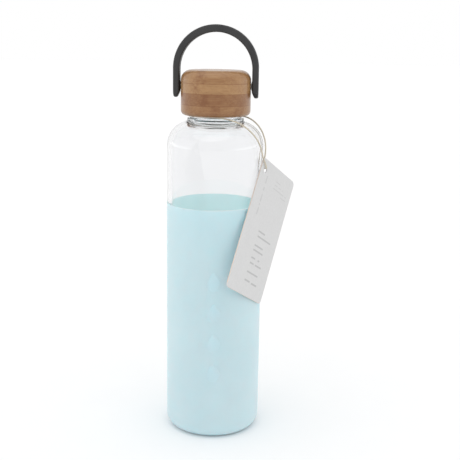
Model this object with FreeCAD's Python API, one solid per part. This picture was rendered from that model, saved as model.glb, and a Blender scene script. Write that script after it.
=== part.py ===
import FreeCAD
import Part
import math
import os

from FreeCAD import Placement, Rotation, Vector

# Glass water bottle with a silicone boot, a screw-on bamboo lid with a swinging
# carry handle, and a card swing tag on a twine loop round the neck.
# Millimetres. Origin at the middle of the standing face, +Z up, X along the
# handle's pivot axis, -Y towards the front.

# ---- driving dimensions -------------------------------------------------------
bottle_r = 32.5             # outside radius of the glass above the boot
shoulder_z = 216.0          # height where the shoulder would close at the axis
shoulder_radius = 17.0      # rounding between the wall and the shoulder
glass_wall = 2.9            # glass thickness above the boot
floor_thick = 5.0           # glass thickness in the floor
punt_r = 21.0               # radius of the hollow under the floor
punt_depth = 3.0            # depth of that hollow

collar_r = 19.0             # smooth band at the root of the neck
collar_top = 217.9
neck_r = 17.0               # neck outside radius under the thread
neck_wall = 2.6             # glass thickness in the neck
mouth_z = 232.0             # sealing face of the mouth
root_round = 0.8            # rounding where the neck meets the shoulder
throat_round = 2.2          # rounding inside, where the shoulder meets the neck's bore

thread_pitch = 5.0          # rise per turn of the lid
thread_height = 1.0         # how far each thread stands off its wall
thread_root_w = 2.2         # thread width at the wall
thread_crest_w = 1.1        # thread width at its top
thread_top_gap = 2.2        # mouth face down to the middle of the thread's top end
thread_foot_gap = 5.4       # collar's top up to the middle of the thread's lower end
thread_gap_r = 0.4          # radial gap between thread and wall, both ways
thread_gap_z = 0.25         # gap under the glass thread that the lid's thread hooks into

boot_wall = 1.2             # silicone thickness on the wall
boot_floor = 1.5            # silicone thickness under the glass
boot_rim_z = 160.0          # top edge of the boot
boot_proud = 0.1            # how far the boot stands out past the glass
boot_corner = 7.4           # rounding of the bottom edge
boot_window_r = 12.0        # round window in the underside
boot_lip_round = 0.9        # outer rounding of the top edge

lid_r = 23.3                # bamboo lid outside radius
lid_bottom = 219.4
lid_top = 249.2
lid_top_round = 6.7
lid_bottom_round = 3.2
liner_wall = 1.3            # plastic liner thickness, side
liner_roof = 1.4            # plastic liner thickness, top
liner_recess = 0.4          # liner's edge sits this far inside the bamboo
gasket_thick = 2.0
gasket_gap = 0.3            # gasket edge to liner wall
gasket_overlap = 0.9        # gasket reaches this far inside the mouth bore

pivot_z = 238.7             # height of the handle's pivot axis
pin_r = 1.3                 # pin shank radius
pin_run_gap = 0.08          # running gap of the handle on the pin
pin_head_r = 2.6
pin_head_thick = 1.1
pin_head_gap = 0.15         # gap round and under the head
bush_r = 1.9                # bush outside radius
bush_length = 6.0

handle_inner = 24.1         # half the gap between the legs
handle_leg = 4.2            # leg thickness
handle_crown = 4.9          # thickness at the top of the arch
handle_width = 9.4          # band width, front to back
handle_arch_z = 249.5       # height of the inner arch's centre
handle_foot = 7.8           # leg length below the pivot
handle_foot_thick = 2.6     # leg thickness at its tip
handle_edge = 1.1           # edge rounding
boss_tip_r = 2.1            # boss radius next to the lid
boss_base_r = 4.0           # boss radius at the leg
boss_gap = 0.2              # boss tip to lid wall

tag_w = 48.0                # card tag width
tag_h = 90.0                # card tag height
tag_thick = 0.8
tag_corner = 3.0
tag_hole_r = 2.0
tag_hole_side = 6.0         # hole centre to the tag's left edge
tag_hole_top = 7.0          # hole centre to the tag's top edge
tag_gap = 0.3               # tag's back face to the boot, the widest part of the bottle
tag_turn = 60.4             # degrees round the bottle from the front, towards +X
tag_tilt = 28.8             # degrees that the tag leans clockwise as it hangs
tag_hole_along = 10.5       # hole centre to the right of the touching line
tag_hole_z = 184.3

cord_d = 1.1                # twine diameter
knot_r = 1.3
knot_length = 3.4
knot_centre = Vector(0.0, 20.7, 217.5)

# The twine's route: from the knot behind the neck into the gap between neck and lid,
# round the left, out from under the lid at the front, down over the shoulder, through
# the tag's hole and back up to the knot.
cord_route = [
    (-1.3, 20.7, 217.5),
    (-4.6, 20.1, 217.9),
    (-8.1, 17.9, 218.55),
    (-10.58, 14.56, 219.1),
    (-13.89, 11.25, 219.3),
    (-16.33, 7.27, 219.3),
    (-17.65, 2.8, 219.3),
    (-17.77, -1.87, 219.3),
    (-16.68, -6.4, 219.3),
    (-14.46, -10.5, 219.3),
    (-11.25, -13.89, 219.3),
    (-7.27, -16.33, 219.3),
    (-2.8, -17.65, 219.3),
    (1.56, -17.83, 219.2),
    (5.56, -17.64, 218.9),
    (9.5, -17.49, 218.3),
    (13.4, -19.0, 217.3),
    (17.9, -18.6, 215.5),
    (23.2, -17.8, 211.9),
    (28.3, -16.3, 206.4),
    (31.3, -14.7, 200.1),
    (32.5, -12.6, 193.9),
    (34.3, -9.7, 188.7),
    (35.3, -7.7, 185.35),
    (33.1, -6.5, 185.35),
    (33.3, -5.5, 189.6),
    (34.2, -2.2, 195.9),
    (33.8, 1.2, 202.2),
    (31.7, 3.5, 208.3),
    (28.3, 4.9, 213.1),
    (23.8, 7.2, 216.6),
    (18.3, 11.2, 218.2),
    (11.5, 17.5, 218.2),
    (5.6, 20.1, 217.8),
    (1.3, 20.7, 217.5),
]

# ---- sizes that follow ----------------------------------------------------------
seat_r = bottle_r + boot_proud - boot_wall       # glass radius inside the boot
inner_r = bottle_r - glass_wall
glass_bottom = boot_floor
glass_floor = glass_bottom + floor_thick
arc_reach = max(0.0, collar_r - bottle_r + shoulder_radius)
neck_root = shoulder_z - shoulder_radius + math.sqrt(shoulder_radius ** 2 - arc_reach ** 2)
neck_foot = neck_root - glass_wall / 2           # the neck starts inside the shoulder's glass
neck_bore_r = neck_r - neck_wall
thread_crest_r = neck_r + thread_height
liner_in_r = thread_crest_r + thread_gap_r
liner_out_r = liner_in_r + liner_wall
liner_crest_r = neck_r + thread_gap_r
gasket_top = mouth_z + gasket_thick
liner_top = gasket_top + liner_roof
thread_low = collar_top + thread_foot_gap
thread_drop = mouth_z - thread_top_gap - thread_low
hook_drop = (thread_root_w + thread_crest_w) / 2 + 2 * thread_gap_z
boss_tip_x = lid_r + boss_gap
handle_outer = handle_inner + handle_leg
handle_crown_z = handle_arch_z + handle_inner + handle_crown
foot_z = pivot_z - handle_foot
head_floor_x = handle_outer - pin_head_thick - 2 * pin_head_gap
bush_face_x = lid_r - 0.4
tag_back = bottle_r + boot_proud + tag_gap

Z = Vector(0, 0, 1)
X = Vector(1, 0, 0)
Y = Vector(0, 1, 0)


# ---- helpers --------------------------------------------------------------------
def outline(corners, plane=lambda a, b: Vector(a, 0, b)):
    """A closed face from corners (a, b) or (a, b, rounding) in a plane."""
    points = [plane(c[0], c[1]) for c in corners]
    rounds = [c[2] if len(c) > 2 else 0.0 for c in corners]
    count = len(points)
    starts, ends, arcs = [], [], []
    for i, point in enumerate(points):
        to_last = (points[i - 1] - point).normalize()
        to_next = (points[(i + 1) % count] - point).normalize()
        if rounds[i] == 0.0:
            starts.append(point)
            ends.append(point)
            arcs.append(None)
            continue
        half = to_last.getAngle(to_next) / 2
        back = rounds[i] / math.tan(half)
        middle = (to_last + to_next).normalize()
        reach = rounds[i] / math.sin(half) - rounds[i]
        starts.append(point + to_last * back)
        ends.append(point + to_next * back)
        arcs.append(point + middle * reach)
    edges = []
    for i in range(count):
        if arcs[i] is not None:
            edges.append(Part.Arc(starts[i], arcs[i], ends[i]).toShape())
        following = starts[(i + 1) % count]
        if (following - ends[i]).Length > 1e-6:
            edges.append(Part.makeLine(ends[i], following))
    return Part.Face(Part.Wire(edges))


def turned(corners):
    """A solid of revolution about Z from a profile of (radius, height[, rounding])."""
    return outline(corners).revolve(Vector(0, 0, 0), Z, 360)


def along_x(radius, x_from, x_to, radius_to=None):
    """A round bar, or a cone, along X at the height of the pivot."""
    base = Vector(x_from, 0, pivot_z)
    if radius_to is None:
        return Part.makeCylinder(radius, x_to - x_from, base, X)
    return Part.makeCone(radius, radius_to, x_to - x_from, base, X)


def thread(wall_r, crest_r, z_low):
    """One helical thread on a wall, standing out or in towards crest_r."""
    into_wall = 0.3 if crest_r < wall_r else -0.3
    foot_r = wall_r + into_wall
    spine = Part.makeHelix(thread_pitch, thread_drop, foot_r)
    half_root = thread_root_w / 2
    half_crest = thread_crest_w / 2
    corners = [(foot_r, -half_root), (crest_r, -half_crest), (crest_r, half_crest), (foot_r, half_root)]
    section = outline(corners).OuterWire
    ridge = Part.Wire(spine.Edges).makePipeShell([section], True, True)
    ridge.translate(Vector(0, 0, z_low))
    return ridge


def mirrored(shape):
    return shape.mirror(Vector(0, 0, 0), X)


def cord_path(route):
    """Straight runs joined by tangent arcs; also the arc radii."""
    points = [Vector(*p) for p in route]
    edges, radii = [], []
    at = points[0]
    for before, corner, after in zip(points, points[1:], points[2:]):
        shorter = min((corner - before).Length, (after - corner).Length)
        back = 0.45 * shorter
        to_last = (before - corner).normalize()
        to_next = (after - corner).normalize()
        half_turn = (math.pi - to_last.getAngle(to_next)) / 2
        radius = back / math.tan(half_turn)
        start = corner + to_last * back
        end = corner + to_next * back
        middle = (to_last + to_next).normalize()
        inset = radius / math.cos(half_turn) - radius
        edges.append(Part.LineSegment(at, start).toShape())
        edges.append(Part.Arc(start, corner + middle * inset, end).toShape())
        radii.append(radius)
        at = end
    edges.append(Part.LineSegment(at, points[-1]).toShape())
    return Part.Wire(edges), radii


# ---- the bottle -----------------------------------------------------------------
def glass_bottle():
    outside = turned([
        (0, glass_bottom), (seat_r, glass_bottom, boot_corner - boot_wall),
        (seat_r, boot_rim_z + 0.3, 0.3), (bottle_r, boot_rim_z + 0.3, 0.4),
        (bottle_r, shoulder_z, shoulder_radius), (0, shoulder_z)])
    neck = turned([
        (neck_bore_r - 0.6, neck_foot), (collar_r, neck_foot), (collar_r, collar_top, 0.6),
        (neck_r, collar_top, 0.4), (neck_r, mouth_z, 0.9), (neck_bore_r - 0.6, mouth_z)])
    body = outside.fuse(neck).removeSplitter()
    root = [e for e in body.Edges if abs(e.BoundBox.ZMin - neck_root) < 0.01
            and abs(e.BoundBox.ZMax - neck_root) < 0.01 and abs(e.BoundBox.XMax - collar_r) < 0.01]
    body = body.makeFillet(root_round, root)
    inside = turned([
        (0, glass_floor), (inner_r, glass_floor, boot_corner),
        (inner_r, shoulder_z - glass_wall, shoulder_radius - glass_wall), (0, shoulder_z - glass_wall)])
    bore = turned([
        (0, neck_foot - glass_wall), (neck_bore_r, neck_foot - glass_wall),
        (neck_bore_r, mouth_z - 0.8), (neck_bore_r + 0.8, mouth_z), (0, mouth_z)])
    punt = turned([(0, glass_bottom - 1), (punt_r + 2, glass_bottom - 1), (punt_r, glass_bottom),
                   (punt_r * 0.55, glass_bottom + punt_depth, 14.0), (0, glass_bottom + punt_depth)])
    body = body.cut(inside).cut(bore)
    throat = [e for e in body.Edges if abs(e.BoundBox.XMax - neck_bore_r) < 0.01
              and e.BoundBox.ZMax < shoulder_z]
    body = body.makeFillet(throat_round, throat).cut(punt)
    return body.fuse(thread(neck_r, thread_crest_r, thread_low)).removeSplitter()


def silicone_boot():
    outer_r = bottle_r + boot_proud
    shell = turned([
        (0, 0), (outer_r, 0, boot_corner), (outer_r, boot_rim_z, boot_lip_round),
        (seat_r, boot_rim_z), (seat_r, boot_floor, boot_corner - boot_wall), (0, boot_floor)])
    window = Part.makeCylinder(boot_window_r, boot_floor * 3, Vector(0, 0, -boot_floor))
    return shell.cut(window)


# ---- the lid --------------------------------------------------------------------
def bamboo_shell():
    shell = turned([
        (liner_out_r, lid_bottom), (lid_r, lid_bottom, lid_bottom_round), (lid_r, lid_top, lid_top_round),
        (0, lid_top), (0, liner_top), (liner_out_r, liner_top)])
    for bush in (pivot_bush(), mirrored(pivot_bush())):
        shell = shell.cut(bush)
    mouth = along_x(pin_r + 0.3, bush_face_x, lid_r + 1)
    return shell.cut(mouth).cut(mirrored(mouth)).cut(pin_tip_room()).cut(mirrored(pin_tip_room()))


def lid_liner():
    edge = lid_bottom + liner_recess
    cup = turned([
        (liner_in_r, edge), (liner_out_r, edge), (liner_out_r, liner_top), (0, liner_top),
        (0, gasket_top), (liner_in_r, gasket_top)])
    return cup.fuse(thread(liner_in_r, liner_crest_r, thread_low - hook_drop)).removeSplitter()


def lid_gasket():
    inner = neck_bore_r - gasket_overlap
    outer = liner_in_r - gasket_gap
    return turned([(inner, mouth_z), (outer, mouth_z), (outer, gasket_top), (inner, gasket_top)])


# ---- the handle -----------------------------------------------------------------
def pivot_bush():
    """Plastic bush glued into the bamboo, where the pin is held."""
    start = bush_face_x - bush_length
    return along_x(bush_r, start, bush_face_x).cut(along_x(pin_r, start, bush_face_x))


def pin_tip_room():
    """The blind hole in the bamboo that the bush and the pin's tip fill."""
    return along_x(pin_r, bush_face_x - bush_length, bush_face_x)


def pivot_pin():
    """Steel pin with a flush head, from the leg's outer face into the bush."""
    shank = along_x(pin_r, bush_face_x - bush_length + 0.6, head_floor_x + pin_head_gap)
    head_start = head_floor_x + pin_head_gap
    head = along_x(pin_head_r, head_start, head_start + pin_head_thick)
    rim = [e for e in head.Edges if abs(e.BoundBox.XMin - head_start - pin_head_thick) < 1e-6]
    slot = Part.makeBox(0.5, pin_head_r * 1.3, 0.6,
                        Vector(head_start + pin_head_thick - 0.4, -pin_head_r * 0.65, pivot_z - 0.3))
    return shank.fuse(head.makeFillet(0.3, rim)).cut(slot)


def carry_handle():
    outer_z = handle_crown_z - handle_outer
    left, right = Vector(-handle_outer, 0, outer_z), Vector(handle_outer, 0, outer_z)
    in_left, in_right = Vector(-handle_inner, 0, handle_arch_z), Vector(handle_inner, 0, handle_arch_z)
    tip_x = handle_outer - handle_foot_thick
    taper_z = pivot_z - boss_base_r
    corners = [
        left, Vector(-handle_outer, 0, foot_z), Vector(-tip_x, 0, foot_z),
        Vector(-handle_inner, 0, taper_z), in_left]
    edges = [Part.makeLine(a, b) for a, b in zip(corners, corners[1:])]
    edges.append(Part.Arc(in_left, Vector(0, 0, handle_arch_z + handle_inner), in_right).toShape())
    edges += [Part.makeLine(Vector(-b.x, 0, b.z), Vector(-a.x, 0, a.z))
              for b, a in zip(corners[:0:-1], corners[-2::-1])]
    edges.append(Part.Arc(right, Vector(0, 0, handle_crown_z), left).toShape())
    half = handle_width / 2
    band = Part.Face(Part.Wire(Part.sortEdges(edges)[0])).extrude(Vector(0, handle_width, 0))
    band.translate(Vector(0, -half, 0))
    side = outline([(-half, foot_z, half - 0.01), (half, foot_z, half - 0.01),
                    (half, handle_crown_z + 5), (-half, handle_crown_z + 5)],
                   lambda a, b: Vector(0, a, b)).extrude(Vector(2 * handle_outer + 4, 0, 0))
    side.translate(Vector(-handle_outer - 2, 0, 0))
    band = band.common(side).removeSplitter()
    band = band.makeFillet(handle_edge, band.Edges)
    for turn in (lambda s: s, mirrored):
        boss = along_x(boss_tip_r, boss_tip_x, handle_inner, boss_base_r)
        boss = boss.fuse(along_x(boss_base_r, handle_inner, handle_inner + 1))
        hole = along_x(pin_r + pin_run_gap, boss_tip_x - 1, handle_outer + 1)
        recess = along_x(pin_head_r + pin_head_gap, head_floor_x, handle_outer + 1)
        band = band.fuse(turn(boss)).cut(turn(hole)).cut(turn(recess))
    return band.removeSplitter()


# ---- the swing tag and its twine ---------------------------------------------------
def tag_axes():
    """The tag's directions: across to the right, up, and outward."""
    angle = math.radians(tag_turn)
    across = Vector(math.cos(angle), math.sin(angle), 0)
    outward = Vector(math.sin(angle), -math.cos(angle), 0)
    return across, Z, outward


def swing_tag():
    across, up, outward = tag_axes()
    card = outline([
        (-tag_hole_side, tag_hole_top, tag_corner), (tag_w - tag_hole_side, tag_hole_top, tag_corner),
        (tag_w - tag_hole_side, tag_hole_top - tag_h, tag_corner),
        (-tag_hole_side, tag_hole_top - tag_h, tag_corner)], lambda a, b: Vector(a, b, 0))
    card = card.extrude(Vector(0, 0, tag_thick))
    card = card.cut(Part.makeCylinder(tag_hole_r, tag_thick * 3, Vector(0, 0, -tag_thick)))
    card.rotate(Vector(0, 0, 0), Z, -tag_tilt)
    centre = across * tag_hole_along + outward * tag_back + up * tag_hole_z
    card.Placement = Placement(centre, Rotation(across, up, outward, "ZXY")).multiply(card.Placement)
    return card


def tag_cord():
    path, radii = cord_path(cord_route)
    print("cord length %.1f mm, arc radii" % path.Length, " ".join("%.1f" % r for r in radii))
    start = Vector(*cord_route[0])
    heading = Vector(*cord_route[1]) - start
    section = Part.Wire(Part.makeCircle(cord_d / 2, start, heading))
    tube = path.makePipeShell([section], True, True)
    ideal = math.pi * cord_d ** 2 / 4 * path.Length
    print("cord volume %.1f, section times length %.1f" % (tube.Volume, ideal))
    return tube.cut(cord_knot())


def cord_knot():
    """A small barrel-shaped knot that takes both ends of the twine."""
    half = knot_length / 2
    neck = cord_d / 2 + 0.1
    barrel = outline([(0, -half), (neck, -half), (knot_r, -half * 0.45, 0.8),
                      (knot_r, half * 0.45, 0.8), (neck, half), (0, half)])
    knot = barrel.revolve(Vector(0, 0, 0), Z, 360)
    knot.Placement = Placement(knot_centre, Rotation(Z, X))
    return knot


# ---- write every piece --------------------------------------------------------------
pieces = {
    "glass_bottle": glass_bottle(),
    "silicone_boot": silicone_boot(),
    "bamboo_lid_shell": bamboo_shell(),
    "lid_liner": lid_liner(),
    "lid_gasket": lid_gasket(),
    "carry_handle": carry_handle(),
    "right_pivot_bush": pivot_bush(),
    "left_pivot_bush": mirrored(pivot_bush()),
    "right_pivot_pin": pivot_pin(),
    "left_pivot_pin": mirrored(pivot_pin()),
    "swing_tag": swing_tag(),
    "tag_cord": tag_cord(),
    "cord_knot": cord_knot(),
}
os.makedirs("parts", exist_ok=True)
for name, shape in pieces.items():
    box = shape.BoundBox
    print("%-18s solids %d valid %s volume %.1f  z %.1f to %.1f" % (
        name, len(shape.Solids), shape.isValid(), shape.Volume, box.ZMin, box.ZMax))
    shape.exportStep("parts/%s.step" % name)
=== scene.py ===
import math

import bmesh
import bpy
import numpy as np
from mathutils import Matrix, Vector


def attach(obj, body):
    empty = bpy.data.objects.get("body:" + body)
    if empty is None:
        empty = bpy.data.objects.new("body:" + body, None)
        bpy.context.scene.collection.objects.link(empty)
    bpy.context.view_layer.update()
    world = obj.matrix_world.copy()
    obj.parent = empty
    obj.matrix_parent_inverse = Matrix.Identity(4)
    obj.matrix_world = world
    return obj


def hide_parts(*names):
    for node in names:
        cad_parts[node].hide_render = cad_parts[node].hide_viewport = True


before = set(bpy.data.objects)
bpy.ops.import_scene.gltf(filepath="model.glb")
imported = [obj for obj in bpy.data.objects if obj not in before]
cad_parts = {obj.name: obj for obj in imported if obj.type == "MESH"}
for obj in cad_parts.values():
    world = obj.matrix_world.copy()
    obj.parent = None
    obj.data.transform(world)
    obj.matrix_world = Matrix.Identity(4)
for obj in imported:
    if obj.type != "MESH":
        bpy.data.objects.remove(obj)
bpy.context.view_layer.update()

bl_info = {
    "name": "Glass water bottle",
    "version": (1, 0, 0),
    "blender": (4, 5, 0),
    "location": "3D View > Sidebar > Bottle",
    "description": "Finishes a glass bottle with a boot, bamboo lid, carry handle and swing tag",
    "category": "Object",
}

MM = 0.001

# The twine's route in millimetres: from the knot behind the neck up between neck and
# lid, round the left, out at the front, down to the tag's hole and back to the knot.
TWINE_ROUTE = (
    (-1.3, 20.7, 217.5), (-4.6, 20.1, 217.9), (-8.1, 17.9, 218.55), (-10.58, 14.56, 219.1),
    (-13.89, 11.25, 219.3), (-16.33, 7.27, 219.3), (-17.65, 2.8, 219.3),
    (-17.77, -1.87, 219.3), (-16.68, -6.4, 219.3), (-14.46, -10.5, 219.3),
    (-11.25, -13.89, 219.3), (-7.27, -16.33, 219.3), (-2.8, -17.65, 219.3),
    (1.56, -17.83, 219.2), (5.56, -17.64, 218.9), (9.5, -17.49, 218.3), (13.4, -19, 217.3),
    (17.9, -18.6, 215.5), (23.2, -17.8, 211.9), (28.3, -16.3, 206.4), (31.3, -14.7, 200.1),
    (32.5, -12.6, 193.9), (34.3, -9.7, 188.7), (35.3, -7.7, 185.35), (33.1, -6.5, 185.35),
    (33.3, -5.5, 189.6), (34.2, -2.2, 195.9), (33.8, 1.2, 202.2), (31.7, 3.5, 208.3),
    (28.3, 4.9, 213.1), (23.8, 7.2, 216.6), (18.3, 11.2, 218.2), (11.5, 17.5, 218.2),
    (5.6, 20.1, 217.8), (1.3, 20.7, 217.5),
)
KNOT_MIDDLE = (0.0, 20.7, 217.5)
KNOT_TAIL_IN = ((-5.4, 23.6, 215.3), (-3.6, 22.4, 216.4), (-2.2, 21.2, 217.1))
KNOT_TAIL_OUT = ((2.2, 21.2, 217.1), (3.4, 22.6, 216.2), (4.6, 24.2, 214.9))

# A ply's radius as a share of the twine's thickness.
PLY_SHARE = 0.29

# Heights of the boot's raised drops in millimetres, and how far round they are in degrees.
DROP_HEIGHTS = (48.0, 69.3, 90.7, 112.0)
DROP_TURN = 4.7

# How deep light enters the boot's outside, and its side against the glass.
DEPTH_OUTSIDE, DEPTH_INSIDE = 3 * MM, 20 * MM

# The boot's edges sharper than this stay sharp.
CREASE = math.radians(35)

# Heights of the seams between the lid's layers, and of the handle's axis, in millimetres.
LAYER_SEAMS = (226.7, 234.3, 240.8)
PIVOT_HEIGHT = 238.7

# Plain printed bars on the card, in millimetres from the hole: left end, right end,
# height, half thickness; then how much ink.
PRINTED_LINES = (
    (13.1, 23.3, -38.8, 0.55, 0.7), (13.8, 33.0, -42.3, 0.55, 0.7), (13.3, 25.2, -48.6, 0.55, 0.7),
    (13.3, 27.0, -51.9, 0.55, 0.7), (13.5, 25.3, -57.2, 0.55, 0.7), (13.7, 29.6, -60.9, 0.55, 0.7),
    (13.2, 31.7, -67.2, 0.55, 0.7), (13.2, 20.4, -73.0, 0.6, 0.7), (22.6, 30.4, -73.4, 0.6, 0.7),
    (17.5, 24.0, -1.6, 0.35, 0.3), (16.4, 30.0, -4.2, 0.35, 0.3), (16.2, 36.4, -6.9, 0.40, 0.3),
    (27.5, 36.0, -9.4, 0.35, 0.3),
)

# The upright row of short bars beside them: left, right, bottom and top, also from the hole.
UPRIGHT_ROW = (3.9, 5.3, -31, -2)

# The overhead light's lean from straight down, and its spread.
SUN_TURN = (math.radians(18), math.radians(-6), 0)
SUN_SPREAD = math.radians(70)


# ---- settings ---------------------------------------------------------------------
def colour(name, description, default):
    return bpy.props.FloatVectorProperty(
        name=name, description=description, default=default, size=3, min=0, max=1, subtype="COLOR")


def length(name, description, millimetres):
    return bpy.props.FloatProperty(
        name=name, description=description, default=millimetres * MM, min=0, precision=5,
        subtype="DISTANCE", unit="LENGTH")


def share(name, description, default):
    return bpy.props.FloatProperty(
        name=name, description=description, default=default, min=0, max=1, subtype="FACTOR")


class StageSettings(bpy.types.PropertyGroup):
    """Camera, floor and light."""
    camera_place: bpy.props.FloatVectorProperty(
        name="Camera place", description="Where the camera stands", size=3,
        default=(0.04676, -0.56882, 0.26978), subtype="TRANSLATION", unit="LENGTH")
    camera_turn: bpy.props.FloatVectorProperty(
        name="Camera turn", description="Euler angles of the camera", size=3,
        default=(1.34821, -0.01515, 0.06651), subtype="EULER", unit="ROTATION")
    lens: bpy.props.FloatProperty(
        name="Lens", description="Focal length on a 36 mm sensor, in millimetres",
        default=66.343, min=1)
    floor_colour: colour("Floor", "Colour of the pale floor", (0.885, 0.885, 0.885))
    sky: bpy.props.FloatProperty(
        name="Room light", description="Brightness of the white room all round", default=1.0, min=0)
    boxes: bpy.props.FloatProperty(
        name="Side boxes", description="Brightness of the light boxes that gloss shows",
        default=0.8, min=0)
    front_dim: share("Front dimming", "How much darker the room is behind the camera", 0.24)
    overhead: bpy.props.FloatProperty(
        name="Overhead light", description="Strength of the soft light from above",
        default=0.55, min=0)


class TwineSettings(bpy.types.PropertyGroup):
    """The swing tag's twine and its knot."""
    diameter: length("Diameter", "Thickness of the laid twine", 1.1)
    plies: bpy.props.IntProperty(
        name="Plies", description="Strands laid together", default=3, min=2, max=4)
    lay: length("Lay", "Length of twine in which the strands make one turn", 3.6)
    fibre: colour("Fibre", "Colour of the cotton fibre", (0.76, 0.70, 0.58))
    shade: colour("Shade", "Colour between the fibres", (0.58, 0.50, 0.38))


class GlassSettings(bpy.types.PropertyGroup):
    """The glass body."""
    tint: colour("Tint", "Colour that the glass passes", (0.925, 0.929, 0.937))
    index: bpy.props.FloatProperty(
        name="Refractive index", description="How strongly the glass bends light",
        default=1.5, min=1, max=2)


class BootSettings(bpy.types.PropertyGroup):
    """The silicone boot."""
    radius: length("Radius", "Outside radius", 32.6)
    wall: length("Wall", "Thickness of the wall", 1.15)
    base: length("Base", "Thickness under the glass", 1.45)
    height: length("Height", "Height of the rim", 160.5)
    corner: length("Corner", "Rounding of the bottom edge", 7.4)
    lip: length("Lip", "Rounding of the rim's outer edge", 0.55)
    window: length("Window", "Radius of the opening underneath", 12.0)
    silicone: colour("Silicone", "Colour of the silicone", (0.578, 0.772, 0.850))
    # Painted light: the side against the glass is a lit copy of the silicone, with a more saturated
    # colour of its own and a painted glow that stands in for light coming through the wall.
    inside: colour("Inside", "Colour of the silicone against the glass", (0.51, 0.86, 0.89))
    painted_glow: share("Glow", "Light that comes through the wall", 0.055)
    drop_height: length("Drop height", "Height of each raised drop", 13.0)
    drop_rise: length("Drop rise", "How far each drop stands off the wall", 0.45)


class LidSettings(bpy.types.PropertyGroup):
    """The bamboo lid with its liner and gasket."""
    pale: colour("Pale bamboo", "Colour of the pale fibre", (0.445, 0.255, 0.107))
    dark: colour("Dark bamboo", "Colour of the dark fibre", (0.21, 0.078, 0.022))
    glue_line: length("Glue line", "Thickness of the line between two layers", 0.22)
    lacquer: share("Lacquer", "Amount of lacquer on the bamboo", 0.45)
    liner: colour("Liner", "Colour of the plastic liner", (0.80, 0.80, 0.78))
    gasket: colour("Gasket", "Colour of the silicone gasket", (0.78, 0.80, 0.80))
    # Painted glow: an emission that stands in for the light reaching the liner and the gasket
    # inside the lid.
    painted_glow: share("Glow", "Light that the liner and the gasket pass on from their far side", 0.45)


class HandleSettings(bpy.types.PropertyGroup):
    """The carry handle, its pins and bushes."""
    plastic: colour("Plastic", "Colour of the moulded handle", (0.020, 0.020, 0.021))
    steel: colour("Steel", "Colour of the pins", (0.60, 0.60, 0.59))
    nylon: colour("Nylon", "Colour of the bushes", (0.62, 0.60, 0.55))


class TagSettings(bpy.types.PropertyGroup):
    """The card swing tag."""
    card: colour("Card", "Colour of the printed side", (0.665, 0.665, 0.665))
    core: colour("Core", "Colour of the cut edge", (0.72, 0.62, 0.55))
    ink: colour("Ink", "Colour of the printed bars", (0.42, 0.42, 0.42))
    turn: bpy.props.FloatProperty(
        name="Turn", description="How far round the bottle the tag hangs",
        default=math.radians(60.4), subtype="ANGLE", unit="ROTATION")
    tilt: bpy.props.FloatProperty(
        name="Tilt", description="How far the tag leans as it hangs",
        default=math.radians(28.8), subtype="ANGLE", unit="ROTATION")
    hole: bpy.props.FloatVectorProperty(
        name="Hole", description="Centre of the hole on the card's back face", size=3,
        default=(0.034141, -0.007319, 0.1843), subtype="TRANSLATION", unit="LENGTH")
    width: length("Width", "Width of the card", 48.0)
    height: length("Height", "Height of the card", 90.0)
    thickness: length("Thickness", "Thickness of the card", 0.8)


# ---- surface finishes ---------------------------------------------------------------
class Level:
    """A number that varies over a surface. Arithmetic on it adds Math nodes."""

    def __init__(self, finish, socket):
        self.finish, self.socket = finish, socket

    def join(self, operation, first, second=0.0):
        node = self.finish.node("ShaderNodeMath", {"operation": operation}, {0: first, 1: second})
        return Level(self.finish, node.outputs[0])

    def __add__(self, other):
        return self.join("ADD", self, other)

    def __sub__(self, other):
        return self.join("SUBTRACT", self, other)

    def __rsub__(self, other):
        return self.join("SUBTRACT", other, self)

    def __mul__(self, other):
        return self.join("MULTIPLY", self, other)

    def __truediv__(self, other):
        return self.join("DIVIDE", self, other)

    def __pow__(self, other):
        return self.join("POWER", self, other)

    def __abs__(self):
        return self.join("ABSOLUTE", self)

    def above(self, edge):
        return self.join("GREATER_THAN", self, edge)

    def below(self, edge):
        return self.join("LESS_THAN", self, edge)

    def fraction(self):
        return self.join("FRACT", self)

    def floor(self):
        return self.join("FLOOR", self)

    def ramp(self, start, end):
        """0 below start, 1 above end, eased between."""
        node = self.finish.node(
            "ShaderNodeMapRange", {"interpolation_type": "SMOOTHSTEP"},
            {"Value": self, "From Min": start, "From Max": end})
        return Level(self.finish, node.outputs["Result"])

    __radd__, __rmul__ = __add__, __mul__


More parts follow.
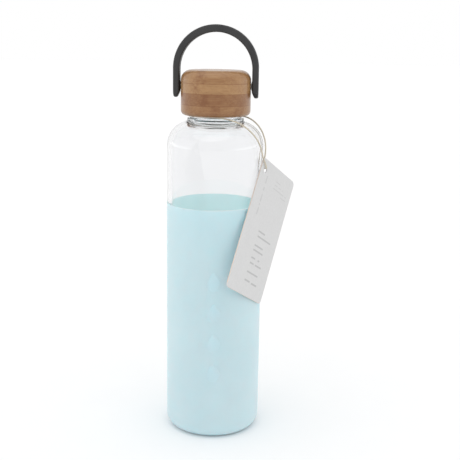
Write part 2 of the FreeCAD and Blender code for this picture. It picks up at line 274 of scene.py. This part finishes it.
class Finish:
    """One surface finish, or the room's light: the node tree and the shader in it."""

    def __init__(self, owner, shader="Principled BSDF", **fixed):
        if isinstance(owner, str):
            owner = bpy.data.materials.new(owner)
        self.material = owner
        owner.use_nodes = True
        self.tree = owner.node_tree
        self.shader = self.tree.nodes[shader]
        self.wear(**fixed)

    def feed(self, socket, value):
        """Links a socket, or sets it to a number, a colour or a vector."""
        if isinstance(value, Level):
            value = value.socket
        if isinstance(value, bpy.types.NodeSocket):
            self.tree.links.new(value, socket)
        elif isinstance(value, (int, float)):
            socket.default_value = value
        else:
            value = tuple(value)
            wanted = len(socket.default_value)
            socket.default_value = value + (1.0,) * (wanted - len(value))

    def node(self, kind, settings=None, sockets=None):
        """Any node, with its settings first and then its sockets."""
        node = self.tree.nodes.new(kind)
        for name, value in (settings or {}).items():
            setattr(node, name, value)
        for name, value in (sockets or {}).items():
            self.feed(node.inputs[name], value)
        return node

    def place(self, turn=(0, 0, 0), centre=(0, 0, 0), stretch=(1, 1, 1)):
        """Object coordinates, moved so that centre is the origin, then turned and stretched."""
        coordinates = self.node("ShaderNodeTexCoord").outputs["Object"]
        moved = self.node("ShaderNodeVectorMath", {"operation": "SUBTRACT"},
                          {0: coordinates, 1: centre})
        turned = self.node("ShaderNodeMapping", {"vector_type": "POINT"},
                           {"Vector": moved.outputs[0], "Rotation": turn, "Scale": stretch})
        return turned.outputs[0]

    def axes(self, vector):
        parts = self.node("ShaderNodeSeparateXYZ", None, {0: vector})
        return [Level(self, parts.outputs[i]) for i in range(3)]

    def noise(self, place, scale, detail=2.0, roughness=0.5):
        node = self.node("ShaderNodeTexNoise", None, {
            "Vector": place, "Scale": scale, "Detail": detail, "Roughness": roughness})
        return Level(self, node.outputs["Fac"])

    def chance(self, *levels):
        """A steady random number from 0 to 1 for each set of whole numbers."""
        joined = self.node("ShaderNodeCombineXYZ", None, dict(enumerate(levels)))
        node = self.node("ShaderNodeTexWhiteNoise", {"noise_dimensions": "3D"},
                         {"Vector": joined.outputs[0]})
        return Level(self, node.outputs["Value"])

    def between(self, level, first, second):
        """The colour that is first where level is 0 and second where it is 1."""
        node = self.node("ShaderNodeMix", {"data_type": "RGBA"}, {0: level, 6: first, 7: second})
        return node.outputs[2]

    def relief(self, height, distance, strength=1.0):
        node = self.node("ShaderNodeBump", None, {
            "Height": height, "Distance": distance, "Strength": strength})
        self.feed(self.shader.inputs["Normal"], node.outputs[0])

    def wear(self, **changing):
        """Links what changes over the surface."""
        for socket, value in changing.items():
            self.feed(self.shader.inputs[socket.replace("_", " ")], value)


def shaded(base, factor):
    return tuple(min(1.0, c * factor) for c in base)


def glass_finish(look):
    glass = Finish("clear_glass", Transmission_Weight=1.0, IOR=look.index, Specular_IOR_Level=0.5)
    place = glass.place()
    waves = glass.noise(place, 40.0, 1.0)
    dust = glass.noise(place, 900.0, 3.0, 0.7).ramp(0.62, 0.80)
    glass.wear(Base_Color=glass.between(waves * 0.5, look.tint, shaded(look.tint, 1.02)),
               Roughness=dust * 0.03)
    glass.relief(waves, 0.02 * MM, 0.15)
    lamp_ray = glass.node("ShaderNodeLightPath").outputs["Is Shadow Ray"]
    clear = glass.node("ShaderNodeBsdfTransparent", None, {0: shaded(look.tint, 0.97)})
    mixed = glass.node("ShaderNodeMixShader", None, {
        0: lamp_ray, 1: glass.shader.outputs[0], 2: clear.outputs[0]})
    output = next(n for n in glass.tree.nodes if n.type == "OUTPUT_MATERIAL")
    glass.feed(output.inputs["Surface"], mixed.outputs[0])
    return glass.material


def silicone_finish(name, base, depth, painted_glow=0.0):
    """Silicone that light enters to a depth.

    The side against the glass also has a painted glow: an emission that stands in for the light
    coming through the wall."""
    silicone = Finish(name, Sheen_Weight=0.04, Sheen_Roughness=0.4, Specular_IOR_Level=0.15,
                      Sheen_Tint=(0.85, 0.92, 1.0), Subsurface_Weight=0.9, Subsurface_Scale=depth,
                      Subsurface_Radius=(0.55, 1.0, 1.0), Emission_Color=(0.0, 0.93, 1.0),
                      Emission_Strength=painted_glow)
    place = silicone.place()
    cloud = silicone.noise(place, 28.0, 3.0)
    specks = silicone.noise(place, 2600.0, 2.0, 0.6)
    handled = silicone.noise(silicone.place(stretch=(1, 1, 0.25)), 60.0, 4.0, 0.6)
    tone = silicone.between(cloud.ramp(0.35, 0.65), shaded(base, 0.985), shaded(base, 1.015))
    silicone.wear(
        Base_Color=silicone.between(specks.ramp(0.4, 0.7) * 0.25, tone, shaded(base, 1.06)),
        Roughness=0.52 + handled * 0.16)
    silicone.relief(specks * 0.6 + handled * 0.4, 0.02 * MM, 0.5)
    return silicone.material


def bamboo_finish(look):
    bamboo = Finish("laminated_bamboo", Coat_Roughness=0.16, Coat_IOR=1.5, Specular_IOR_Level=0.4)
    place = bamboo.place()
    x, y, z = bamboo.axes(place)
    seams = [height * MM for height in LAYER_SEAMS]
    layer = z.above(seams[0]) + z.above(seams[1]) + z.above(seams[2])
    shift = bamboo.chance(layer, 3.0, 7.0)
    strip = (y / (25.0 * MM) + 0.02 + shift * 0.16).floor()
    tone = 0.55 + z.above(seams[0]) * 0.10 - z.above(seams[1]) * 0.47 + z.above(seams[2]) * 0.06
    tone = tone + bamboo.chance(layer, strip, 1.0) * 0.30
    fibre_place = bamboo.place(stretch=(0.035, 1.0, 1.0))
    streaks = bamboo.noise(fibre_place, 900.0, 4.0, 0.65)
    bands = bamboo.noise(fibre_place, 160.0, 2.0)
    pores = bamboo.noise(bamboo.place(stretch=(0.12, 1.0, 1.0)), 2600.0, 1.0).ramp(0.62, 0.76)
    knuckle_at = (bamboo.chance(layer, strip, 5.0) - 0.5) * 0.030
    knuckle = 1.0 - abs(x - knuckle_at).ramp(0.0008, 0.0042)
    mottle = bamboo.noise(place, 420.0, 2.0, 0.6)
    dark = streaks * 0.64 + bands * 0.46 + tone * 0.45 - 0.325
    dark = dark + pores * 0.20 + knuckle * (mottle - 0.32) * 0.9
    seam = 0.0
    for height in seams:
        seam = (1.0 - abs(z - height).ramp(look.glue_line * 0.3, look.glue_line)) + seam
    dark = dark + seam * 0.42
    wood = bamboo.between(dark.ramp(-0.05, 0.95), look.pale, look.dark)
    bamboo.wear(
        Base_Color=wood,
        Roughness=0.34 + streaks * 0.16,
        Coat_Weight=look.lacquer * (1.0 - pores * 0.35 - seam * 0.2))
    bamboo.relief(streaks * 0.5 - pores * 0.4 - seam * 0.8, 0.05 * MM, 0.5)
    return bamboo.material


def moulded_finish(name, base, gloss, grain, step=0.012, painted_glow=0.0):
    """Moulded plastic or rubber: fine grain, faint handling marks and flow shades.

    A painted glow, an emission in the plastic's own colour, stands in for light that a translucent
    plastic passes on from its far side."""
    plastic = Finish(name, Specular_IOR_Level=0.5, Emission_Color=base, Emission_Strength=painted_glow)
    place = plastic.place()
    texture = plastic.noise(place, grain, 2.0, 0.6)
    flow = plastic.noise(plastic.place(stretch=(1, 1, 0.3)), 70.0, 3.0, 0.6)
    lighter = tuple(c + step for c in base)
    plastic.wear(Base_Color=plastic.between(flow.ramp(0.35, 0.7), base, lighter),
                 Roughness=gloss + flow * 0.14)
    plastic.relief(texture, 0.03 * MM, 0.5)
    return plastic.material


def steel_finish(look):
    steel = Finish("turned_steel", Metallic=1.0)
    place = steel.place(centre=(0.0, 0.0, PIVOT_HEIGHT * MM))
    x, y, z = steel.axes(place)
    from_axis = (y * y + z * z) ** 0.5
    rings = (from_axis * 9000.0).fraction()
    stain = steel.noise(place, 800.0, 3.0)
    steel.wear(Base_Color=steel.between(stain * 0.6, look.steel, shaded(look.steel, 0.8)),
               Roughness=0.22 + rings * 0.10 + stain * 0.08)
    steel.relief(rings, 0.01 * MM, 0.4)
    return steel.material


def card_finish(look):
    card = Finish("printed_card", Specular_IOR_Level=0.35)
    across, up = look.width, look.height
    straight = Matrix.Rotation(look.tilt, 3, "Z") @ tag_directions(look).inverted()
    turn = straight.to_euler()
    place = card.place(turn=turn, centre=look.hole)
    a, b, w = card.axes(place)
    left, top, cut = -6.0 * MM, 7.0 * MM, 0.06 * MM
    edge = a.below(left + cut) + a.above(left + across - cut) + b.above(top - cut)
    edge = edge + b.below(top - up + cut)
    front = w.above(look.thickness * 0.4)
    ink = 0.0
    for low, high, line, half, amount in PRINTED_LINES:
        inside = a.above(low * MM) * a.below(high * MM) * abs(b - line * MM).below(half * MM)
        word = card.chance((a / (1.9 * MM)).floor(), line, 2.0).above(0.16)
        ink = inside * word * amount + ink
    low, high, bottom, top_end = (c * MM for c in UPRIGHT_ROW)
    beside = a.above(low) * a.below(high) * b.above(bottom) * b.below(top_end)
    ink = beside * card.chance((b / (1.3 * MM)).floor(), 3.0, 4.0).above(0.3) * 0.35 + ink
    ink = ink * front
    pulp = card.noise(place, 600.0, 4.0, 0.65)
    cloud = card.noise(place, 60.0, 2.0)
    paper = card.between(pulp.ramp(0.35, 0.65) * 0.6 + cloud * 0.4,
                         shaded(look.card, 0.97), shaded(look.card, 1.03))
    printed = card.between(ink, paper, look.ink)
    card.wear(Base_Color=card.between(edge.ramp(0.2, 0.8), printed, look.core),
              Roughness=0.62 + pulp * 0.12 - ink * 0.10)
    card.relief(pulp - ink * 0.2, 0.02 * MM, 0.5)
    return card.material


def fibre_finish(look):
    fibre = Finish("cotton_twine", Sheen_Weight=0.3, Sheen_Roughness=0.5, Specular_IOR_Level=0.2)
    along = fibre.node("ShaderNodeUVMap", {"uv_map": "lay"}).outputs[0]
    stretched = fibre.node("ShaderNodeMapping", None, {"Vector": along, "Scale": (0.35, 9.0, 1.0)})
    threads = fibre.noise(stretched.outputs[0], 1.6, 3.0, 0.6)
    slubs = fibre.noise(fibre.place(), 320.0, 2.0)
    fibre.wear(Base_Color=fibre.between(threads.ramp(0.30, 0.62), look.shade, look.fibre),
               Roughness=0.82 + slubs * 0.12)
    fibre.relief(threads, 0.06 * MM, 0.6)
    return fibre.material


# ---- making -------------------------------------------------------------------------
def coat(node, material):
    """Gives a CAD node its finish, in the slots that it has."""
    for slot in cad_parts[node].material_slots:
        slot.material = material


def select_only(kind, test):
    """Selects exactly those elements of the mesh in hand that pass a test."""
    mesh = bmesh.from_edit_mesh(bpy.context.object.data)
    for part in (mesh.verts, mesh.edges, mesh.faces):
        for element in part:
            element.select = False
    for element in [e for e in getattr(mesh, kind) if test(e)]:
        element.select = True
    mesh.select_flush_mode()
    bmesh.update_edit_mesh(bpy.context.object.data)


def pick(test):
    select_only("faces", test)


def pick_edges(test):
    """Selects the edges whose two ends pass a test."""
    select_only("edges", lambda e: test(e.verts[0].co) and test(e.verts[1].co))


def rim(radius, height, slack=0.02 * MM):
    """A test for points on a ring about the bottle's axis."""
    def on_ring(point):
        return abs(math.hypot(point.x, point.y) - radius) < slack and abs(point.z - height) < slack
    return on_ring


def begin(add, name, **sizes):
    """Adds a primitive on its own and names it."""
    bpy.ops.object.select_all(action="DESELECT")
    add(**sizes)
    piece = bpy.context.object
    piece.name = piece.data.name = name
    return piece


def seat(piece):
    """Puts the piece's place into its mesh, so that its object stands at the origin."""
    bpy.ops.object.select_all(action="DESELECT")
    piece.select_set(True)
    bpy.context.view_layer.objects.active = piece
    bpy.ops.object.transform_apply(location=True, rotation=True, scale=True)


def apply_modifiers(piece):
    bpy.context.view_layer.objects.active = piece
    for modifier in list(piece.modifiers):
        bpy.ops.object.modifier_apply(modifier=modifier.name)


def tag_directions(look):
    """Columns: across the hanging tag to the right, up, and out of its front."""
    across = Vector((math.cos(look.turn), math.sin(look.turn), 0))
    outward = Vector((math.sin(look.turn), -math.cos(look.turn), 0))
    return Matrix((across, Vector((0, 0, 1)), outward)).transposed()


def smooth_line(name, route):
    """The points of a smooth spline through a route of millimetre points."""
    curve = bpy.data.curves.new(name, "CURVE")
    curve.dimensions = "3D"
    curve.resolution_u = 24
    spline = curve.splines.new("NURBS")
    spline.points.add(len(route) - 1)
    for point, place in zip(spline.points, route):
        point.co = (*(c * MM for c in place), 1.0)
    spline.order_u = 3
    spline.use_endpoint_u = True
    holder = bpy.data.objects.new(name, curve)
    bpy.context.collection.objects.link(holder)
    bpy.context.view_layer.update()
    drawn = holder.evaluated_get(bpy.context.evaluated_depsgraph_get())
    line = bpy.data.meshes.new_from_object(drawn)
    points = np.array([v.co for v in line.vertices], float)
    bpy.data.objects.remove(holder)
    bpy.data.curves.remove(curve)
    bpy.data.meshes.remove(line)
    return points


def even(points, step):
    """The same line with points a step apart."""
    lengths = np.linalg.norm(np.diff(points, axis=0), axis=1)
    reach = np.concatenate([[0.0], np.cumsum(lengths)])
    marks = np.linspace(0.0, reach[-1], max(2, int(round(reach[-1] / step))) + 1)
    return np.stack([np.interp(marks, reach, points[:, i]) for i in range(3)], 1), reach[-1]


def carried_sides(ahead):
    """Two directions across each heading of a line, which turn as little as they can along it."""
    side = np.cross(ahead[0], (0.0, 0.0, 1.0))
    sides = []
    for heading in ahead:
        side = side - heading * (side @ heading)
        side /= np.linalg.norm(side)
        sides.append(side)
    sides = np.array(sides)
    return sides, np.cross(ahead, sides)


def strands(name, line, look, sides=8):
    """A mesh of plies twisted round a line, with closed ends and a UV map along them."""
    ply_r = look.diameter * PLY_SHARE
    offset = look.diameter * 0.5 - ply_r
    vertices, faces, marks = [], [], []
    line, total = even(line, 0.30 * MM)
    ahead = np.gradient(line, axis=0)
    ahead /= np.linalg.norm(ahead, axis=1)[:, None]
    side, other = carried_sides(ahead)
    run = np.linspace(0.0, total, len(line))
    for ply in range(look.plies):
        turn = 2 * math.pi * (run / look.lay + ply / look.plies)
        out = side * np.cos(turn)[:, None] + other * np.sin(turn)[:, None]
        centre = line + out * offset
        round_way = np.cross(ahead, out)
        first = len(vertices)
        for i in range(len(line)):
            for k in range(sides):
                angle = 2 * math.pi * k / sides
                vertices.append(centre[i] + ply_r * (
                    out[i] * math.cos(angle) + round_way[i] * math.sin(angle)))
        for i in range(len(line) - 1):
            for k in range(sides):
                a, b = first + i * sides + k, first + i * sides + (k + 1) % sides
                faces.append((a, b, b + sides, a + sides))
                u0, u1, v0, v1 = run[i] / MM, run[i + 1] / MM, k / sides, (k + 1) / sides
                marks += [(u0, v0), (u0, v1), (u1, v1), (u1, v0)]
        last = first + (len(line) - 1) * sides
        faces.append(tuple(first + k for k in reversed(range(sides))))
        faces.append(tuple(last + k for k in range(sides)))
        marks += [(0.0, 0.0)] * sides + [(run[-1] / MM, 0.0)] * sides
    mesh = bpy.data.meshes.new(name)
    mesh.from_pydata([tuple(v) for v in vertices], [], faces)
    layer = mesh.uv_layers.new(name="lay")
    layer.data.foreach_set("uv", np.array(marks, np.float32).ravel())
    mesh.polygons.foreach_set("use_smooth", [True] * len(mesh.polygons))
    mesh.update()
    piece = bpy.data.objects.new(name, mesh)
    bpy.context.collection.objects.link(piece)
    return piece


# ---- operators ------------------------------------------------------------------------
class BOTTLE_OT_stage(bpy.types.Operator):
    """Set up the camera, the pale floor and the soft light"""
    bl_idname = "bottle.stage"
    bl_label = "Stage"

    def execute(self, context):
        look = context.scene.bottle_stage
        bpy.ops.object.select_all(action="DESELECT")
        bpy.ops.object.camera_add(location=look.camera_place, rotation=look.camera_turn)
        camera = context.object
        camera.name = "camera"
        camera.data.lens = look.lens
        camera.data.sensor_width = 36.0
        camera.data.clip_start, camera.data.clip_end = 0.01, 100.0
        context.scene.camera = camera
        floor = begin(bpy.ops.mesh.primitive_circle_add, "floor", vertices=96, radius=9.0,
                      fill_type="NGON", location=(0, 0, 0))
        pale = Finish("pale_floor", Specular_IOR_Level=0.1)
        grain = pale.noise(pale.place(), 30.0, 2.0)
        lighter = shaded(look.floor_colour, 1.02)
        pale.wear(Base_Color=pale.between(grain, look.floor_colour, lighter),
                  Roughness=0.85 + grain * 0.1)
        floor.data.materials.append(pale.material)
        bpy.ops.object.light_add(type="SUN", rotation=SUN_TURN)
        sun = context.object
        sun.name = "overhead"
        sun.data.angle = SUN_SPREAD
        sun.data.energy = look.overhead
        self.light_room(context, look)
        context.scene.view_settings.view_transform = "Standard"
        return {"FINISHED"}

    def light_room(self, context, look):
        """A white room, dimmer behind the camera and with a bright box at either side."""
        room = Finish(bpy.data.worlds.new("white_room"), "Background", Color=(1.0, 1.0, 1.0))
        context.scene.world = room.material
        ways = room.node("ShaderNodeTexCoord").outputs["Generated"]
        x, y, z = room.axes(ways)
        rays = room.node("ShaderNodeLightPath").outputs
        wall = 1.0 - (1.0 - y.ramp(-0.98, -0.55)) * look.front_dim
        wall = wall + Level(room, rays["Is Camera Ray"]) * (1.0 - wall)
        low = 1.0 - abs(z + 0.12).ramp(0.08, 0.26)
        boxes = abs(x).ramp(0.70, 0.95) * low * look.boxes
        room.wear(Strength=wall * look.sky + boxes * Level(room, rays["Is Glossy Ray"]))


class BOTTLE_OT_twine(bpy.types.Operator):
    """Lay the tag's twine round the neck and through the tag, and tie its knot"""
    bl_idname = "bottle.twine"
    bl_label = "Twine and knot"

    def execute(self, context):
        look = context.scene.bottle_twine
        line = smooth_line("twine_line", TWINE_ROUTE)
        twine = strands("tag_twine", line, look)
        material = fibre_finish(look)
        twine.data.materials.append(material)
        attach(twine, "tag_loop")
        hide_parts("tag_cord")
        knot = strands("tag_knot", smooth_line("knot_line", self.knot_route()), look)
        knot.data.materials.append(material)
        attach(knot, "tag_loop")
        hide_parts("cord_knot")
        return {"FINISHED"}

    def knot_route(self):
        """Three wraps round both ends of the twine, and a short tail each way down the shoulder."""
        reach, half, steps, steps_a_wrap = 0.78, 1.35, 18, 6
        wraps = []
        for i in range(steps + 1):
            angle = 2 * math.pi * i / steps_a_wrap
            wraps.append((half * (2 * i / steps - 1), KNOT_MIDDLE[1] + reach * math.cos(angle),
                          KNOT_MIDDLE[2] + reach * math.sin(angle)))
        return [*KNOT_TAIL_IN, *wraps, *KNOT_TAIL_OUT]


class BOTTLE_OT_glass(bpy.types.Operator):
    """Give the glass body its finish"""
    bl_idname = "bottle.glass"
    bl_label = "Glass body"

    def execute(self, context):
        coat("glass_bottle", glass_finish(context.scene.bottle_glass))
        return {"FINISHED"}


class BOTTLE_OT_boot(bpy.types.Operator):
    """Mould the silicone boot, with a row of raised drops on its front"""
    bl_idname = "bottle.boot"
    bl_label = "Silicone boot"

    def execute(self, context):
        look = context.scene.bottle_boot
        boot = self.cup(look)
        for height in DROP_HEIGHTS:
            self.raise_drop(boot, look, math.radians(DROP_TURN), height * MM)
        # The inner faces get a lit copy of the silicone, painted a more saturated teal and given a
        # painted cyan glow. Both stand in for the light that reaches them through the wall and the
        # glass.
        outside = silicone_finish("pale_silicone", tuple(look.silicone), DEPTH_OUTSIDE)
        inside = silicone_finish(
            "pale_silicone_inside", tuple(look.inside), DEPTH_INSIDE, look.painted_glow)
        boot.data.materials.clear()
        boot.data.materials.append(outside)
        boot.data.materials.append(inside)
        seat(boot)
        for face in boot.data.polygons:
            outward = face.normal.x * face.center.x + face.normal.y * face.center.y
            face.material_index = 1 if outward < -0.3 * look.radius else 0
        bpy.ops.object.shade_smooth_by_angle(angle=CREASE)
        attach(boot, "bottle")
        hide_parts("silicone_boot")
        return {"FINISHED"}

    def cup(self, look):
        boot = begin(bpy.ops.mesh.primitive_cylinder_add, "boot", vertices=160, radius=look.radius,
                     depth=look.height, location=(0, 0, look.height / 2), end_fill_type="NGON")
        seat(boot)
        inside = look.radius - look.wall
        bpy.ops.object.mode_set(mode="EDIT")
        bpy.ops.mesh.select_mode(type="FACE")
        pick(lambda f: f.normal.z > 0.9)
        bpy.ops.mesh.inset(thickness=look.wall)
        down = look.base - look.height
        bpy.ops.mesh.extrude_region_move(TRANSFORM_OT_translate={"value": (0, 0, down)})
        pick(lambda f: len(f.verts) > 4)
        bpy.ops.mesh.inset(thickness=inside - look.window)
        pick(lambda f: len(f.verts) > 4 and f.normal.z > 0)
        bpy.ops.mesh.delete(type="FACE")
        pick(lambda f: len(f.verts) > 4 and f.normal.z < 0)
        bpy.ops.mesh.delete(type="FACE")
        bpy.ops.mesh.select_mode(type="EDGE")
        low = look.radius - (inside - look.window)
        pick_edges(lambda p: math.hypot(p.x, p.y) < low + 0.1 * MM)
        bpy.ops.mesh.bridge_edge_loops()
        for test, size, steps in (
                (rim(look.radius, 0.0), look.corner, 12),
                (rim(inside, look.base), look.corner - look.wall, 8),
                (rim(look.radius, look.height), look.lip, 6),
                (rim(inside, look.height), 0.2 * MM, 2)):
            pick_edges(test)
            bpy.ops.mesh.bevel(offset=size, segments=steps, affect="EDGES")
        bpy.ops.object.mode_set(mode="OBJECT")
        return boot

    def raise_drop(self, boot, look, turn, height):
        """One smooth drop, bent round the wall and joined to it."""
        half, steep, buried = look.drop_height / 2, 0.35, 0.5 * MM
        fullness, taper, taper_power = 0.72, 0.55, 1.2
        drop = begin(bpy.ops.mesh.primitive_uv_sphere_add, "drop", segments=48, ring_count=28,
                     radius=half, location=(0, 0, 0))
        for vertex in drop.data.vertices:
            x, y, up = (c / half for c in vertex.co)
            slim = fullness * (1.0 - taper * max(0.0, up) ** taper_power)
            angle = x * slim * half / look.radius + turn
            rise = -buried if y > 0 else look.drop_rise * abs(y) ** steep
            reach = look.radius + rise
            vertex.co = Vector((
                reach * math.sin(angle), -reach * math.cos(angle), vertex.co.z + height))
        cut = boot.modifiers.new("drop", "BOOLEAN")
        cut.operation, cut.solver, cut.object = "UNION", "EXACT", drop
        apply_modifiers(boot)
        bpy.data.objects.remove(drop)


class BOTTLE_OT_lid(bpy.types.Operator):
    """Give the bamboo lid, its liner and its gasket their finishes"""
    bl_idname = "bottle.lid"
    bl_label = "Lid"

    def execute(self, context):
        look = context.scene.bottle_lid
        coat("bamboo_lid_shell", bamboo_finish(look))
        # The liner and the gasket get a painted glow that lightens the shade inside the lid.
        coat("lid_liner", moulded_finish(
            "liner_plastic", tuple(look.liner), 0.35, 1800.0, 0.02, look.painted_glow))
        coat("lid_gasket", moulded_finish(
            "gasket_silicone", tuple(look.gasket), 0.42, 2400.0, 0.02, look.painted_glow))
        return {"FINISHED"}


class BOTTLE_OT_handle(bpy.types.Operator):
    """Give the carry handle, its pins and its bushes their finishes"""
    bl_idname = "bottle.handle"
    bl_label = "Carry handle"

    def execute(self, context):
        look = context.scene.bottle_handle
        coat("carry_handle", moulded_finish("handle_plastic", tuple(look.plastic), 0.46, 1500.0))
        steel = steel_finish(look)
        bush = moulded_finish("bush_nylon", tuple(look.nylon), 0.4, 2000.0, 0.03)
        for side in ("left", "right"):
            coat(side + "_pivot_pin", steel)
            coat(side + "_pivot_bush", bush)
        return {"FINISHED"}


class BOTTLE_OT_tag(bpy.types.Operator):
    """Print the card swing tag"""
    bl_idname = "bottle.tag"
    bl_label = "Swing tag"

    def execute(self, context):
        coat("swing_tag", card_finish(context.scene.bottle_tag))
        return {"FINISHED"}


class BOTTLE_PT_maker(bpy.types.Panel):
    """Lists the bottle's pieces"""
    bl_idname = "BOTTLE_PT_maker"
    bl_label = "Glass water bottle"
    bl_space_type = "VIEW_3D"
    bl_region_type = "UI"
    bl_category = "Bottle"

    def draw(self, context):
        for group, _, maker in STEPS:
            box = self.layout.box()
            settings = getattr(context.scene, group)
            for name in settings.__annotations__:
                box.prop(settings, name)
            box.operator(maker.bl_idname)


# Each step's group of settings, their class and the operator that uses them, in order.
STEPS = (
    ("bottle_stage", StageSettings, BOTTLE_OT_stage),
    ("bottle_twine", TwineSettings, BOTTLE_OT_twine),
    ("bottle_glass", GlassSettings, BOTTLE_OT_glass),
    ("bottle_boot", BootSettings, BOTTLE_OT_boot),
    ("bottle_lid", LidSettings, BOTTLE_OT_lid),
    ("bottle_handle", HandleSettings, BOTTLE_OT_handle),
    ("bottle_tag", TagSettings, BOTTLE_OT_tag),
)


def register():
    for group, settings, maker in STEPS:
        bpy.utils.register_class(settings)
        setattr(bpy.types.Scene, group, bpy.props.PointerProperty(type=settings))
        bpy.utils.register_class(maker)
    bpy.utils.register_class(BOTTLE_PT_maker)


def unregister():
    bpy.utils.unregister_class(BOTTLE_PT_maker)
    for group, settings, maker in reversed(STEPS):
        bpy.utils.unregister_class(maker)
        delattr(bpy.types.Scene, group)
        bpy.utils.unregister_class(settings)


def main():
    register()
    for _, _, maker in STEPS:
        area, name = maker.bl_idname.split(".")
        getattr(getattr(bpy.ops, area), name)()


if __name__ == "__main__":
    main()
